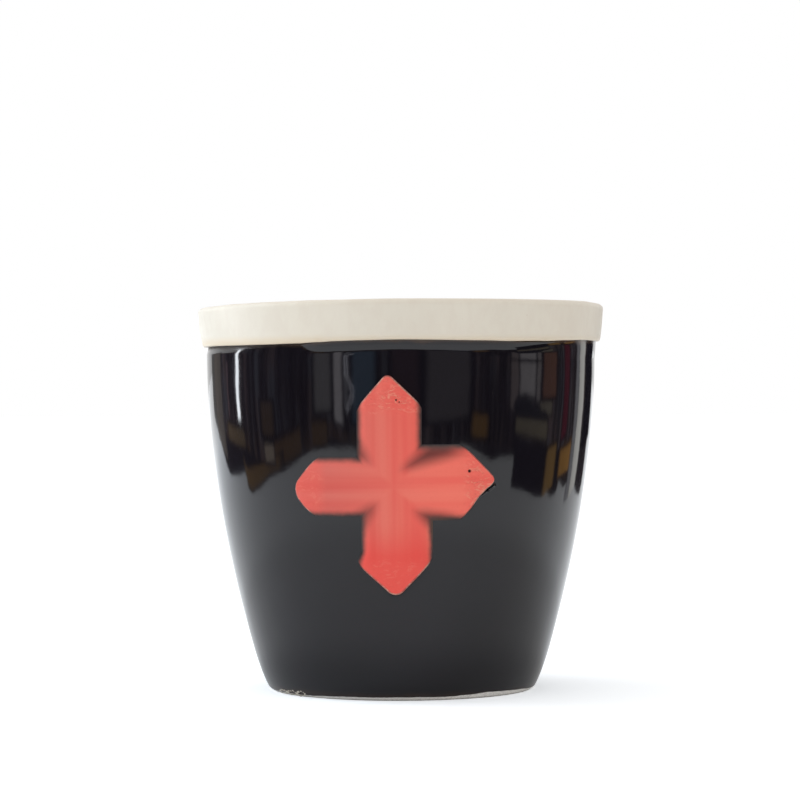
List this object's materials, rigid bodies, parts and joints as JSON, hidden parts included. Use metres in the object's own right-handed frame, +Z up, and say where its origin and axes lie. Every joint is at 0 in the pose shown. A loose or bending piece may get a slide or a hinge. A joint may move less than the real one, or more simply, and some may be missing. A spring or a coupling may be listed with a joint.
{
  "type": "condiment jar",
  "caption": "Small open stoneware jar that tapers to a turned foot, with a cream collared rim, a glossy black outside and a red diamond plaque pressed on its front.",
  "frame": {"origin": "on the jar's axis, at the height of the table that its foot stands on", "axes": "+Z up the jar's axis, out of its mouth; the plaque is towards -Y, and +X is to the right as it is seen from the front"},
  "size_m": [0.095, 0.095, 0.09],
  "materials": {
    "bare_stoneware": "unglazed, fine and gritty",
    "cream_glaze": "satin",
    "black_glaze": "high gloss",
    "plaque_clay": "unglazed, pressed",
    "red_enamel": "semi-gloss, worn at the edges"
  },
  "bodies": {
    "root": {"stoneware_body": "bare_stoneware", "cream_liner_glaze": "cream_glaze", "black_outer_glaze": "black_glaze", "plaque": "plaque_clay", "red_plaque_enamel": "red_enamel"}
  },
  "joints": []
}
